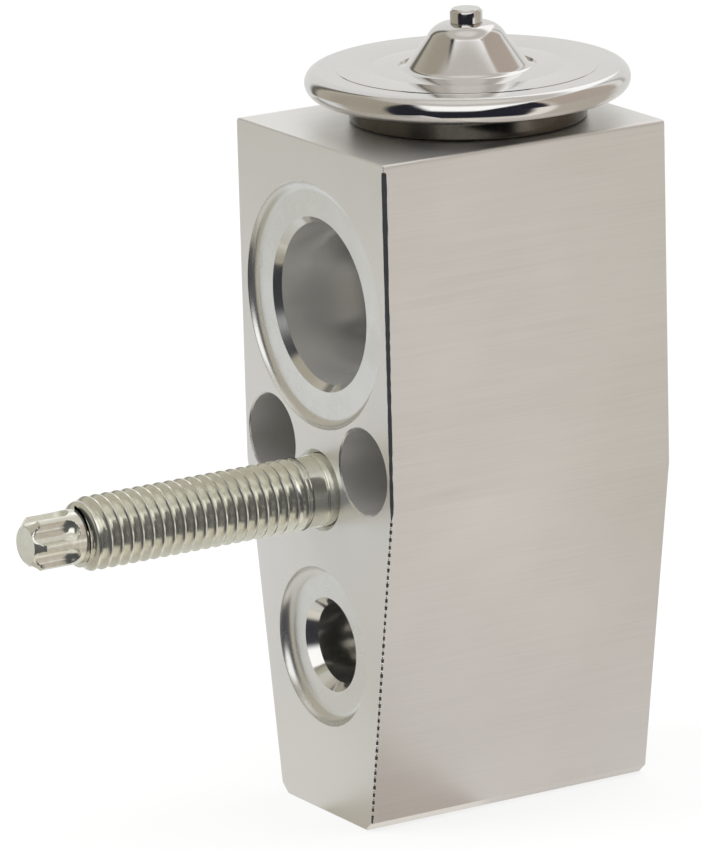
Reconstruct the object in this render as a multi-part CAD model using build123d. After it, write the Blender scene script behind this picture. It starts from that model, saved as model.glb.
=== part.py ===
"""Block expansion valve: a machined aluminium block with its valve train, a welded diaphragm head and a stud.

All sizes are in millimetres. Heights of features in the block are measured up from its base face, and
depths are measured back from its port face. Levels in the head are measured up from the block's top face.
The origin lies on the port face, midway between the two bolt holes. +Z is up and +Y runs into the block.
"""
import os
from math import cos, radians, sin, sqrt

from build123d import *

# Block: an extruded bar, sawn to depth, upright above and tapered below
BLOCK_WIDTH = 29.0
BLOCK_DEPTH = 34.8
BLOCK_HEIGHT = 73.0
BASE_WIDTH = 17.8
TAPER_HEIGHT = 36.0
BASE_CORNER = 1.0
UPRIGHT_BEVEL = 0.35
TAPER_BEVEL = 0.12

# Valve axis, behind the port face
AXIS_DEPTH = 19.7

# Two through holes for the bolts that hold the valve to the evaporator
BOLT_HEIGHT = 39.4
BOLT_SPACING = 18.1
BOLT_HOLE = 9.2
HOLE_EDGE_BREAK = 0.15

# Suction line port, on the port face
SUCTION_HEIGHT = 55.45
SUCTION_BORE = 17.2
SUCTION_BORE_DEPTH = 12.0
SUCTION_LEAD = 0.7
SUCTION_SEAT = 26.2
SUCTION_SEAT_DEPTH = 0.75
SUCTION_SEAT_FLARE = 1.0
SUCTION_PASSAGE = 15.5

# Liquid line port, on the port face
LIQUID_HEIGHT = 18.35
LIQUID_BORE = 8.56
LIQUID_BORE_DEPTH = 11.0
LIQUID_LEAD = 0.8
LIQUID_LEAD_DEPTH = 1.1
LIQUID_SEAT = 17.1
LIQUID_SEAT_DEPTH = 1.05
LIQUID_SEAT_FLARE = 1.25
LIQUID_PASSAGE = 6.0

# Suction return and liquid outlet, on the evaporator side
RETURN_BORE = 19.6
RETURN_BORE_DEPTH = 8.0
OUTLET_HEIGHT = 28.6
OUTLET_BORE = 14.4
OUTLET_BORE_DEPTH = 7.0
OUTLET_PASSAGE = 9.2
REAR_LEAD = 0.7

# Mounting stud: thread, plain shank at the root and a six-lobe driving end
STUD_HEIGHT = 35.5
STUD_THREAD = 7.8
STUD_REACH = 35.3
STUD_GRIP = 11.5
STUD_END_CHAMFER = 0.8
STUD_LEAD_LENGTH = 1.3
STUD_LEAD_DROP = 0.9
STUD_SHANK = 7.45
STUD_SHANK_LENGTH = 2.9
STUD_GROOVE_FROM_FACE = 0.85
STUD_GROOVE_WIDTH = 0.25
STUD_GROOVE_DEPTH = 0.1
STUD_HOLE_SPARE = 1.5
STUD_HOLE_MOUTH = 0.45
DRIVE_ACROSS = 5.74
DRIVE_LENGTH = 5.9
DRIVE_NOSE = 0.95
DRIVE_FLUTES = 6
DRIVE_TURN = -13.5
FLUTE_RADIUS = 0.95
FLUTE_ROOT_ACROSS = 4.2
FLUTE_LENGTH = 3.6

# Fits
THREAD_GAP = 0.05
RUNNING_GAP = 0.05
FACE_GAP = 0.03
SEAT_GAP = 0.05

# Head, seen from outside
RIM_RADIUS = 17.15
RIM_LEVEL = 4.0
RIM_NOSE = 1.4
RING_RADIUS = 12.55
RING_LEVEL = 2.1
RING_FOOT = 0.4
RING_FILLET = 1.0
PLATE_LEVEL = 5.45
PLATE_STEP_RADIUS = 13.84
PLATE_STEP = 0.05
BELL_GROOVE_DEPTH = 0.12
BELL_FOOT_RADIUS = 6.7
BELL_FOOT_BLEND = 0.55
BELL_SHOULDER_RADIUS = 4.08
BELL_SHOULDER_LEVEL = 8.75
BELL_CROWN_RADIUS = 1.95
BELL_CROWN_LEVEL = 10.05
COVER_WALL = 0.8
PLUG_RADIUS = 1.72
PLUG_LEVEL = 11.55
PLUG_CHAMFER = 0.35
PLUG_PIN_RADIUS = 0.9

# Head, inside
DIAPHRAGM_WALL = 0.2
DIAPHRAGM_WAVE = 0.45
DIAPHRAGM_FLAT_RADIUS = 9.4
DIAPHRAGM_GRIP_RADIUS = 13.4
NECK_RADIUS = 9.5
NECK_LENGTH = 6.0
NECK_BORE_RADIUS = 7.6
WELL_SPARE = 0.6
CHAMBER_RADIUS = 11.2
CHAMBER_FLOOR = 0.9
GASKET_SEAT_RADIUS = 12.0
GASKET_SEAT_DEPTH = 1.6
STOPPER_RADIUS = 10.2
STOPPER_WALL = 1.7
STOPPER_BOSS_RADIUS = 4.2
STOPPER_BOSS_DROP = 2.0
SOCKET_DEPTH = 2.6

# Sensing rod, push rod and their seal
ROD_RADIUS = 2.9
ROD_SPIGOT_RADIUS = 2.5
ROD_TAIL_RADIUS = 1.6
ROD_SHOULDER_ABOVE_FLOOR = 1.3
ROD_WINDOW_RADIUS = 3.6
PUSH_ROD_RADIUS = 1.25
PUSH_ROD_SOCKET = 2.0
SEAL_POCKET_RADIUS = 3.4
SEAL_POCKET_DEPTH = 4.0
TAIL_POCKET_RADIUS = 1.9
TAIL_POCKET_DEPTH = 2.0
TAIL_CLEARANCE = 1.2
RETAINER_WALL = 0.5
RETAINER_BORE_RADIUS = 1.95
RETAINER_TEETH = 8
RETAINER_NOTCH = 0.7

# Orifice, ball and carrier
STROKE = 0.8
SPRING_CHAMBER = 9.9
SEAT_HEIGHT = 21.5
SEAT_CONE = 0.5
ORIFICE = 3.8
BALL_RADIUS = 2.75
CARRIER_NECK_RADIUS = 3.1
CARRIER_RIM_BELOW_BALL = 1.64
CARRIER_NECK_HEIGHT = 1.3
CARRIER_FLANGE_RADIUS = 4.4
CARRIER_FLANGE_WALL = 1.0
CARRIER_SPIGOT_LENGTH = 1.8
SPIGOT_RADIUS = 2.4
DAMPER_WALL = 0.3
DAMPER_FINGERS = 4
DAMPER_FINGER_ARC = 44.0
DAMPER_FINGER_RISE = 2.2
DAMPER_WALL_GAP = 0.1

# Superheat spring
SPRING_WIRE = 1.0
SPRING_MEAN_RADIUS = 3.25
SPRING_TURNS = 4.5

# Adjusting screw, in the base
SCREW_THREAD_RADIUS = 5.9
SCREW_RECESS = 1.2
SCREW_THREAD_LENGTH = 3.4
SCREW_THREAD_RUNOUT = 1.3
SCREW_NOSE_LENGTH = 3.85
SCREW_SPIGOT_LENGTH = 1.0
SCREW_SEAL_LAND = 0.8
SCREW_SEAL_GROOVE = 1.7
SCREW_SEAL_ROOT_RADIUS = 3.25
HEX_ACROSS_FLATS = 5.0
HEX_DEPTH = 2.8
BASE_MOUTH_CHAMFER = 0.5

# Levels on the valve axis that several pieces share
WELL_FLOOR = BLOCK_HEIGHT - NECK_LENGTH - WELL_SPARE
PASSAGE_FLOOR = SUCTION_HEIGHT - SUCTION_PASSAGE / 2
SEAL_SHELF = PASSAGE_FLOOR - SEAL_POCKET_DEPTH
TAIL_POCKET_FLOOR = SEAL_SHELF - TAIL_POCKET_DEPTH
ROD_END = TAIL_POCKET_FLOOR + TAIL_CLEARANCE
ORIFICE_TOP = OUTLET_HEIGHT - OUTLET_PASSAGE / 2
SEAT_CONE_TOP = SEAT_HEIGHT + SEAT_CONE
BALL_HEIGHT = SEAT_CONE_TOP + ORIFICE / 2 - sqrt(2) * (BALL_RADIUS + SEAT_GAP)
CARRIER_RIM = BALL_HEIGHT - CARRIER_RIM_BELOW_BALL
CARRIER_FLANGE_TOP = CARRIER_RIM - CARRIER_NECK_HEIGHT
SPRING_TOP = CARRIER_FLANGE_TOP - CARRIER_FLANGE_WALL
SCREW_THREAD_TOP = SCREW_RECESS + SCREW_THREAD_LENGTH
SCREW_NOSE_TOP = SCREW_THREAD_TOP + SCREW_NOSE_LENGTH
SCREW_GROOVE_TOP = SCREW_NOSE_TOP - SCREW_SEAL_LAND
SCREW_GROOVE_FOOT = SCREW_GROOVE_TOP - SCREW_SEAL_GROOVE
DIAPHRAGM_LEVEL = RIM_LEVEL - DIAPHRAGM_WALL / 2
STOPPER_TOP = DIAPHRAGM_LEVEL - SEAT_GAP


def z_of(height):
    """Row-frame Z of a height above the base face."""
    return height - BOLT_HEIGHT


def turned(outline, foot=0.0):
    """Solid turned about the valve axis from an outline of (radius, height) points above foot."""
    face = Plane.XZ * make_face(Polyline(*outline, close=True))
    return Pos(0, AXIS_DEPTH, z_of(foot)) * revolve(face, Axis.Z)


def turned_wires(wires, foot=0.0):
    """Solid turned about the valve axis from edges that close into one outline."""
    face = Plane.XZ * make_face(wires)
    return Pos(0, AXIS_DEPTH, z_of(foot)) * revolve(face, Axis.Z)


def bored(x, height, steps):
    """Stepped tool along +Y at (x, height) from (radius, depth) steps, closed on its own axis."""
    ends = [(0, depth) for radius, depth in (steps[-1], steps[0]) if radius]
    face = make_face(Polyline(*steps, *ends, close=True))
    return Pos(x, 0, z_of(height)) * revolve(face, Axis.Y)


def ring_seal(inner_radius, outer_radius, height):
    """O-ring about the valve axis that fills the gap between two radii, centred at a height."""
    section = (outer_radius - inner_radius) / 2
    middle = (outer_radius + inner_radius) / 2
    return Pos(0, AXIS_DEPTH, z_of(height)) * Torus(middle, section)


def block_bar():
    """Extruded bar with the base corners cut and its sawn edges bevelled."""
    half_top, half_base = BLOCK_WIDTH / 2, BASE_WIDTH / 2
    outline = make_face(
        Polyline(
            (-half_base, z_of(0)),
            (half_base, z_of(0)),
            (half_top, z_of(TAPER_HEIGHT)),
            (half_top, z_of(BLOCK_HEIGHT)),
            (-half_top, z_of(BLOCK_HEIGHT)),
            (-half_top, z_of(TAPER_HEIGHT)),
            close=True,
        )
    )
    foot = outline.vertices().group_by(Axis.Y)[0]
    bar = extrude(Plane.XZ * chamfer(foot, BASE_CORNER), -BLOCK_DEPTH)
    ends = bar.faces().group_by(Axis.Y)
    sawn = ends[0].edges() + ends[-1].edges()
    upright = [e for e in sawn if abs(e.tangent_at(0.5).Z) > 0.999]
    bar = chamfer(upright, UPRIGHT_BEVEL)
    ends = bar.faces().group_by(Axis.Y)
    sawn = ends[0].edges() + ends[-1].edges()
    sloping = [e for e in sawn if 0.9 < abs(e.tangent_at(0.5).Z) < 0.999]
    return chamfer(sloping, TAPER_BEVEL)


def line_ports():
    """Tools for the two ports on the port face, each with its seal seat, lead-in and pilot bore."""
    suction, liquid = SUCTION_BORE / 2, LIQUID_BORE / 2
    seat, shelf = SUCTION_SEAT / 2, SUCTION_SEAT_DEPTH
    upper = bored(
        0,
        SUCTION_HEIGHT,
        [
            (seat, 0),
            (seat - SUCTION_SEAT_FLARE, shelf),
            (suction + SUCTION_LEAD, shelf),
            (suction, shelf + SUCTION_LEAD),
            (suction, SUCTION_BORE_DEPTH),
            (SUCTION_PASSAGE / 2, SUCTION_BORE_DEPTH),
            (SUCTION_PASSAGE / 2, BLOCK_DEPTH - RETURN_BORE_DEPTH),
        ],
    )
    seat, shelf = LIQUID_SEAT / 2, LIQUID_SEAT_DEPTH
    lower = bored(
        0,
        LIQUID_HEIGHT,
        [
            (seat, 0),
            (seat - LIQUID_SEAT_FLARE, shelf),
            (liquid + LIQUID_LEAD, shelf),
            (liquid, shelf + LIQUID_LEAD_DEPTH),
            (liquid, LIQUID_BORE_DEPTH),
            (LIQUID_PASSAGE / 2, LIQUID_BORE_DEPTH),
            (LIQUID_PASSAGE / 2, AXIS_DEPTH - SPRING_CHAMBER / 4),
        ],
    )
    return [upper, lower]


def evaporator_ports():
    """Tools for the two ports on the evaporator side, each bored for a sealed pipe end."""
    back = BLOCK_DEPTH
    tools = []
    for height, bore, depth, start, passage in (
        (SUCTION_HEIGHT, RETURN_BORE / 2, RETURN_BORE_DEPTH, back - RETURN_BORE_DEPTH, 0),
        (OUTLET_HEIGHT, OUTLET_BORE / 2, OUTLET_BORE_DEPTH, AXIS_DEPTH - ORIFICE, OUTLET_PASSAGE / 2),
    ):
        inner = [(passage, start), (passage, back - depth)] if passage else []
        mouth = [(bore, back - depth), (bore, back - REAR_LEAD), (bore + REAR_LEAD, back)]
        tools.append(bored(0, height, inner + mouth))
    return tools


def bolt_and_stud_holes():
    """Tools for the two bolt holes and for the tapped hole with its countersunk mouth."""
    radius, lip = BOLT_HOLE / 2, HOLE_EDGE_BREAK
    steps = [
        (radius + lip, 0),
        (radius, lip),
        (radius, BLOCK_DEPTH - lip),
        (radius + lip, BLOCK_DEPTH),
    ]
    tools = [bored(side * BOLT_SPACING / 2, BOLT_HEIGHT, steps) for side in (-1, 1)]
    tapped = STUD_THREAD / 2 + THREAD_GAP
    floor = STUD_GRIP + STUD_HOLE_SPARE
    drill_point = tapped / sqrt(3)
    steps = [(tapped + STUD_HOLE_MOUTH, 0), (tapped, STUD_HOLE_MOUTH), (tapped, floor), (0, floor + drill_point)]
    tools.append(bored(0, STUD_HEIGHT, steps))
    return tools


def axis_bores():
    """Tool for every bore on the valve axis, from the head's well down to the adjusting screw."""
    well = NECK_RADIUS + THREAD_GAP
    thread = SCREW_THREAD_RADIUS + THREAD_GAP
    chamber, orifice = SPRING_CHAMBER / 2, ORIFICE / 2
    guide = PUSH_ROD_RADIUS + RUNNING_GAP
    top = turned(
        [
            (0, BLOCK_HEIGHT),
            (GASKET_SEAT_RADIUS, BLOCK_HEIGHT),
            (GASKET_SEAT_RADIUS, BLOCK_HEIGHT - GASKET_SEAT_DEPTH),
            (well, BLOCK_HEIGHT - GASKET_SEAT_DEPTH),
            (well, WELL_FLOOR),
            (ROD_WINDOW_RADIUS, WELL_FLOOR),
            (ROD_WINDOW_RADIUS, SUCTION_HEIGHT),
            (SEAL_POCKET_RADIUS, SUCTION_HEIGHT),
            (SEAL_POCKET_RADIUS, SEAL_SHELF),
            (TAIL_POCKET_RADIUS, SEAL_SHELF),
            (TAIL_POCKET_RADIUS, TAIL_POCKET_FLOOR),
            (guide, TAIL_POCKET_FLOOR),
            (guide, OUTLET_HEIGHT),
            (0, OUTLET_HEIGHT),
        ]
    )
    foot = turned(
        [
            (0, OUTLET_HEIGHT),
            (orifice, OUTLET_HEIGHT),
            (orifice, SEAT_CONE_TOP),
            (orifice + SEAT_CONE, SEAT_HEIGHT),
            (chamber, SEAT_HEIGHT),
            (chamber, SCREW_THREAD_TOP + SCREW_THREAD_RUNOUT),
            (thread, SCREW_THREAD_TOP + SCREW_THREAD_RUNOUT),
            (thread, BASE_MOUTH_CHAMFER),
            (thread + BASE_MOUTH_CHAMFER, 0),
            (0, 0),
        ]
    )
    return [top, foot]


def valve_block():
    """Aluminium block with all its ports, passages and pockets."""
    block = block_bar()
    for tool in line_ports() + evaporator_ports() + bolt_and_stud_holes() + axis_bores():
        block -= tool
    return block


def mounting_stud():
    """Stud with a plain shank at its root and a fluted driving end."""
    thread, drive = STUD_THREAD / 2, DRIVE_ACROSS / 2
    thread_end = -(STUD_REACH - DRIVE_LENGTH)
    shank = STUD_SHANK / 2
    groove_floor = shank - STUD_GROOVE_DEPTH
    stud = bored(
        0,
        STUD_HEIGHT,
        [
            (drive - DRIVE_NOSE, -STUD_REACH),
            (drive, -STUD_REACH + DRIVE_NOSE),
            (drive, thread_end),
            (thread - STUD_LEAD_DROP, thread_end),
            (thread, thread_end + STUD_LEAD_LENGTH),
            (thread, -STUD_SHANK_LENGTH),
            (shank, -STUD_SHANK_LENGTH),
            (shank, -STUD_GROOVE_FROM_FACE - STUD_GROOVE_WIDTH),
            (groove_floor, -STUD_GROOVE_FROM_FACE - STUD_GROOVE_WIDTH),
            (groove_floor, -STUD_GROOVE_FROM_FACE),
            (thread, -STUD_GROOVE_FROM_FACE),
            (thread, STUD_GRIP - STUD_END_CHAMFER),
            (thread - STUD_END_CHAMFER, STUD_GRIP),
        ],
    )
    flute_axis = FLUTE_ROOT_ACROSS / 2 + FLUTE_RADIUS
    flute_end = -STUD_REACH + DRIVE_NOSE + FLUTE_LENGTH
    straight = flute_end - FLUTE_RADIUS + STUD_REACH + FLUTE_RADIUS
    for index in range(DRIVE_FLUTES):
        angle = radians(DRIVE_TURN + 360 * index / DRIVE_FLUTES)
        x, z = flute_axis * sin(angle), z_of(STUD_HEIGHT) + flute_axis * cos(angle)
        middle = flute_end - FLUTE_RADIUS - straight / 2
        stud -= Pos(x, middle, z) * Rot(90, 0, 0) * Cylinder(FLUTE_RADIUS, straight)
        stud -= Pos(x, flute_end - FLUTE_RADIUS, z) * Sphere(FLUTE_RADIUS)
    return stud


def head_upper_cover():
    """Stainless cover: bull-nosed rim, flat plate and a bell with a convex shoulder, hollow inside."""
    grip, wall = RIM_LEVEL + DIAPHRAGM_WALL / 2, COVER_WALL
    nose_root, groove = RIM_RADIUS - RIM_NOSE, PLATE_LEVEL - BELL_GROOVE_DEPTH
    crown, shoulder = (BELL_CROWN_RADIUS, BELL_CROWN_LEVEL), (BELL_SHOULDER_RADIUS, BELL_SHOULDER_LEVEL)
    run, drop = BELL_FOOT_RADIUS - shoulder[0], shoulder[1] - groove
    side_length = sqrt(run**2 + drop**2)
    slope = (run / side_length, -drop / side_length)
    side = (BELL_FOOT_RADIUS - BELL_FOOT_BLEND * slope[0], groove - BELL_FOOT_BLEND * slope[1])
    flare = (BELL_FOOT_RADIUS + BELL_FOOT_BLEND, groove)
    plate = (flare[0] + BELL_GROOVE_DEPTH, PLATE_LEVEL)
    step_foot = PLATE_LEVEL - PLATE_STEP
    hole = PLUG_PIN_RADIUS + FACE_GAP
    nose_mid = (nose_root + RIM_NOSE * cos(radians(45)), RIM_LEVEL + RIM_NOSE * sin(radians(45)))
    outer = [
        Line((hole, BELL_CROWN_LEVEL), crown),
        TangentArc(crown, shoulder, tangent=(1, 0)),
        Line(shoulder, side),
        TangentArc(side, flare, tangent=slope),
        Line(flare, plate),
        Line(plate, (PLATE_STEP_RADIUS, PLATE_LEVEL)),
        Line((PLATE_STEP_RADIUS, PLATE_LEVEL), (PLATE_STEP_RADIUS + PLATE_STEP, step_foot)),
        Line((PLATE_STEP_RADIUS + PLATE_STEP, step_foot), (nose_root, RIM_LEVEL + RIM_NOSE)),
        ThreePointArc((nose_root, RIM_LEVEL + RIM_NOSE), nose_mid, (RIM_RADIUS, RIM_LEVEL)),
    ]
    inner = Polyline(
        (RIM_RADIUS, RIM_LEVEL),
        (nose_root + RIM_NOSE / 2, RIM_LEVEL),
        (nose_root + RIM_NOSE / 2, grip),
        (DIAPHRAGM_GRIP_RADIUS, grip),
        (DIAPHRAGM_GRIP_RADIUS - wall, PLATE_LEVEL - wall),
        (BELL_FOOT_RADIUS + wall * slope[1], PLATE_LEVEL - wall),
        (BELL_FOOT_RADIUS + wall * slope[1], groove - wall * slope[0]),
        (shoulder[0] + wall * slope[1], shoulder[1] - wall * slope[0]),
        (BELL_CROWN_RADIUS - wall / 2, BELL_CROWN_LEVEL - wall),
        (hole, BELL_CROWN_LEVEL - wall),
        (hole, BELL_CROWN_LEVEL),
    )
    return turned_wires(outer + [inner], BLOCK_HEIGHT)


def head_lower_cover():
    """Stainless lower cover: rim, seat ring, stopper chamber and the threaded neck."""
    grip = RIM_LEVEL - DIAPHRAGM_WALL / 2
    nose_root = RIM_RADIUS - RIM_NOSE
    nose_mid = (nose_root + RIM_NOSE * cos(radians(45)), RIM_LEVEL - RIM_NOSE * sin(radians(45)))
    under = RIM_LEVEL - RIM_NOSE
    fillet_top = (RING_RADIUS + RING_FILLET, RING_LEVEL + RING_FOOT)
    outer = [
        ThreePointArc((RIM_RADIUS, RIM_LEVEL), nose_mid, (nose_root, under)),
        Line((nose_root, under), fillet_top),
        TangentArc((RING_RADIUS, RING_LEVEL - RING_FOOT), fillet_top, tangent=(0, 1)),
    ]
    rest = Polyline(
        (RING_RADIUS, RING_LEVEL - RING_FOOT),
        (RING_RADIUS, RING_FOOT),
        (RING_RADIUS - RING_FOOT, 0),
        (NECK_RADIUS, 0),
        (NECK_RADIUS, -NECK_LENGTH),
        (NECK_BORE_RADIUS, -NECK_LENGTH),
        (NECK_BORE_RADIUS, CHAMBER_FLOOR),
        (CHAMBER_RADIUS, CHAMBER_FLOOR),
        (CHAMBER_RADIUS, grip - DIAPHRAGM_WAVE - DIAPHRAGM_WALL),
        (DIAPHRAGM_GRIP_RADIUS - FACE_GAP, grip - FACE_GAP),
        (DIAPHRAGM_GRIP_RADIUS, grip),
        (nose_root + RIM_NOSE / 2, grip),
        (nose_root + RIM_NOSE / 2, RIM_LEVEL),
        (RIM_RADIUS, RIM_LEVEL),
    )
    return turned_wires(outer + [rest], BLOCK_HEIGHT)


def diaphragm():
    """Thin steel disc with one ring-shaped wave between its flat centre and its clamped margin."""
    edge = RIM_RADIUS - RIM_NOSE / 2
    low, high = DIAPHRAGM_LEVEL, DIAPHRAGM_LEVEL + DIAPHRAGM_WALL
    half = (DIAPHRAGM_FLAT_RADIUS + DIAPHRAGM_GRIP_RADIUS - 1) / 2
    start, end = DIAPHRAGM_FLAT_RADIUS, 2 * half - DIAPHRAGM_FLAT_RADIUS
    wires = [
        Polyline((start, low), (0, low), (0, high), (start, high)),
        ThreePointArc((start, high), (half, high + DIAPHRAGM_WAVE), (end, high)),
        Polyline((end, high), (edge, high), (edge, low), (end, low)),
        ThreePointArc((end, low), (half, low + DIAPHRAGM_WAVE), (start, low)),
    ]
    return turned_wires(wires, BLOCK_HEIGHT)


def charge_plug():
    """Stub that closes the charging hole in the bell, with a pin down through the cover."""
    return turned(
        [
            (0, BELL_CROWN_LEVEL - COVER_WALL),
            (PLUG_PIN_RADIUS, BELL_CROWN_LEVEL - COVER_WALL),
            (PLUG_PIN_RADIUS, BELL_CROWN_LEVEL),
            (PLUG_RADIUS, BELL_CROWN_LEVEL),
            (PLUG_RADIUS, PLUG_LEVEL - PLUG_CHAMFER),
            (PLUG_RADIUS - PLUG_CHAMFER, PLUG_LEVEL),
            (0, PLUG_LEVEL),
        ],
        BLOCK_HEIGHT,
    )


def diaphragm_stopper():
    """Plate under the diaphragm, with a boss that takes the top of the sensing rod."""
    foot = STOPPER_TOP - STOPPER_WALL
    boss_end = -STOPPER_BOSS_DROP
    socket = ROD_SPIGOT_RADIUS + FACE_GAP
    return turned(
        [
            (0, STOPPER_TOP),
            (STOPPER_RADIUS, STOPPER_TOP),
            (STOPPER_RADIUS, foot),
            (STOPPER_BOSS_RADIUS, foot),
            (STOPPER_BOSS_RADIUS, boss_end),
            (socket, boss_end),
            (socket, boss_end + SOCKET_DEPTH),
            (0, boss_end + SOCKET_DEPTH),
        ],
        BLOCK_HEIGHT,
    )


def head_gasket():
    """O-ring that seals the head against the block around the threaded neck."""
    section = GASKET_SEAT_DEPTH / 2 - FACE_GAP
    inner = NECK_RADIUS + (GASKET_SEAT_RADIUS - NECK_RADIUS) / 2 - section
    return ring_seal(inner, inner + 2 * section, BLOCK_HEIGHT - GASKET_SEAT_DEPTH / 2)


def sensing_rod():
    """Rod that crosses the suction passage and feels the gas, with a thin tail through the seal."""
    top = BLOCK_HEIGHT - STOPPER_BOSS_DROP
    shoulder = PASSAGE_FLOOR + ROD_SHOULDER_ABOVE_FLOOR
    socket = PUSH_ROD_RADIUS + FACE_GAP
    return turned(
        [
            (0, top + SOCKET_DEPTH - FACE_GAP),
            (ROD_SPIGOT_RADIUS, top + SOCKET_DEPTH - FACE_GAP),
            (ROD_SPIGOT_RADIUS, top),
            (ROD_RADIUS, top),
            (ROD_RADIUS, shoulder),
            (ROD_TAIL_RADIUS, shoulder),
            (ROD_TAIL_RADIUS, ROD_END),
            (socket, ROD_END),
            (socket, ROD_END + PUSH_ROD_SOCKET),
            (0, ROD_END + PUSH_ROD_SOCKET),
        ]
    )


def push_rod():
    """Straight pin from the sensing rod through the orifice to the top of the ball."""
    foot = BALL_HEIGHT + BALL_RADIUS + FACE_GAP
    top = ROD_END + PUSH_ROD_SOCKET - FACE_GAP
    return turned([(0, foot), (PUSH_ROD_RADIUS, foot), (PUSH_ROD_RADIUS, top), (0, top)])


def rod_seal():
    """O-ring on the sensing rod's tail, between the suction passage and the low-pressure side."""
    inner, outer = ROD_TAIL_RADIUS + RUNNING_GAP, SEAL_POCKET_RADIUS - FACE_GAP
    return ring_seal(inner, outer, SEAL_SHELF + (outer - inner) / 2)


def seal_retainer():
    """Flat ring with a toothed edge that grips the pocket above the rod seal."""
    foot = SEAL_SHELF + SEAL_POCKET_RADIUS - ROD_TAIL_RADIUS
    outer = SEAL_POCKET_RADIUS - FACE_GAP
    bore = RETAINER_BORE_RADIUS
    ring = turned([(bore, foot), (outer, foot), (outer, foot + RETAINER_WALL), (bore, foot + RETAINER_WALL)])
    middle = z_of(foot + RETAINER_WALL / 2)
    notch = Box(RETAINER_NOTCH, RETAINER_NOTCH, 2 * RETAINER_WALL)
    for index in range(RETAINER_TEETH):
        turn = Rot(0, 0, 360 * index / RETAINER_TEETH)
        ring -= Pos(0, AXIS_DEPTH, middle) * turn * Pos(outer, 0, 0) * notch
    return ring


def valve_ball():
    """Steel ball that closes the orifice from below."""
    return Pos(0, AXIS_DEPTH, z_of(BALL_HEIGHT)) * Sphere(BALL_RADIUS)


def ball_carrier():
    """Brass carrier: cone for the ball, flange for the spring and a spigot inside its coils."""
    apex = BALL_HEIGHT - sqrt(2) * (BALL_RADIUS + FACE_GAP)
    floor = BALL_HEIGHT - BALL_RADIUS - 8 * FACE_GAP
    return turned(
        [
            (0, SPRING_TOP - CARRIER_SPIGOT_LENGTH),
            (SPIGOT_RADIUS, SPRING_TOP - CARRIER_SPIGOT_LENGTH),
            (SPIGOT_RADIUS, SPRING_TOP),
            (CARRIER_FLANGE_RADIUS, SPRING_TOP),
            (CARRIER_FLANGE_RADIUS, CARRIER_FLANGE_TOP),
            (CARRIER_NECK_RADIUS, CARRIER_FLANGE_TOP),
            (CARRIER_NECK_RADIUS, CARRIER_RIM),
            (CARRIER_RIM - apex, CARRIER_RIM),
            (floor - apex, floor),
            (0, floor),
        ]
    )


def damper_spring():
    """Thin washer on the carrier with fingers that rub on the chamber wall and stop vibration."""
    inner, foot = CARRIER_NECK_RADIUS + FACE_GAP, CARRIER_FLANGE_TOP
    outer, reach = CARRIER_FLANGE_RADIUS, SPRING_CHAMBER / 2 - DAMPER_WALL_GAP
    top, wall = foot + DAMPER_FINGER_RISE, DAMPER_WALL
    washer = turned([(inner, foot), (outer, foot), (outer, foot + wall), (inner, foot + wall)])
    leaf = Plane.XZ * make_face(
        Polyline((outer - wall, 0), (outer, 0), (reach, top - foot), (reach - wall, top - foot), close=True)
    )
    for index in range(DAMPER_FINGERS):
        start = 360 * index / DAMPER_FINGERS
        finger = revolve(leaf, Axis.Z, DAMPER_FINGER_ARC)
        washer += Pos(0, AXIS_DEPTH, z_of(foot)) * Rot(0, 0, start) * finger
    return washer


def superheat_spring():
    """Coil spring with ground ends between the adjusting screw and the ball carrier."""
    height = SPRING_TOP - SCREW_NOSE_TOP
    pitch = height / SPRING_TURNS
    wire = SPRING_WIRE / 2
    path = Helix(pitch, height, SPRING_MEAN_RADIUS)
    section = Plane(path @ 0, z_dir=path % 0) * Circle(wire)
    coil = sweep(section, path, is_frenet=True)
    room = 2 * (SPRING_MEAN_RADIUS + SPRING_WIRE)
    coil &= Pos(0, 0, height / 2) * Box(room, room, height)
    return Pos(0, AXIS_DEPTH, z_of(SCREW_NOSE_TOP)) * coil


def adjusting_screw():
    """Threaded plug with a hexagon socket, a seal groove and a spigot for the spring."""
    nose = SPRING_CHAMBER / 2 - RUNNING_GAP
    screw = turned(
        [
            (0, SCREW_RECESS),
            (SCREW_THREAD_RADIUS, SCREW_RECESS),
            (SCREW_THREAD_RADIUS, SCREW_THREAD_TOP),
            (nose, SCREW_THREAD_TOP),
            (nose, SCREW_GROOVE_FOOT),
            (SCREW_SEAL_ROOT_RADIUS, SCREW_GROOVE_FOOT),
            (SCREW_SEAL_ROOT_RADIUS, SCREW_GROOVE_TOP),
            (nose, SCREW_GROOVE_TOP),
            (nose, SCREW_NOSE_TOP),
            (SPIGOT_RADIUS, SCREW_NOSE_TOP),
            (SPIGOT_RADIUS, SCREW_NOSE_TOP + SCREW_SPIGOT_LENGTH),
            (0, SCREW_NOSE_TOP + SCREW_SPIGOT_LENGTH),
        ]
    )
    socket = extrude(RegularPolygon(HEX_ACROSS_FLATS / 2, 6, major_radius=False), HEX_DEPTH)
    return screw - Pos(0, AXIS_DEPTH, z_of(SCREW_RECESS)) * socket


def screw_seal():
    """O-ring in the adjusting screw's groove, running in the spring chamber's bore."""
    inner, outer = SCREW_SEAL_ROOT_RADIUS + RUNNING_GAP, SPRING_CHAMBER / 2 - RUNNING_GAP
    return ring_seal(inner, outer, (SCREW_GROOVE_FOOT + SCREW_GROOVE_TOP) / 2)


PIECES = (
    valve_block,
    mounting_stud,
    head_upper_cover,
    head_lower_cover,
    diaphragm,
    charge_plug,
    diaphragm_stopper,
    head_gasket,
    sensing_rod,
    push_rod,
    rod_seal,
    seal_retainer,
    valve_ball,
    ball_carrier,
    damper_spring,
    superheat_spring,
    adjusting_screw,
    screw_seal,
)

os.makedirs("parts", exist_ok=True)
for piece in PIECES:
    export_step(piece(), f"parts/{piece.__name__}.step")
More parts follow.
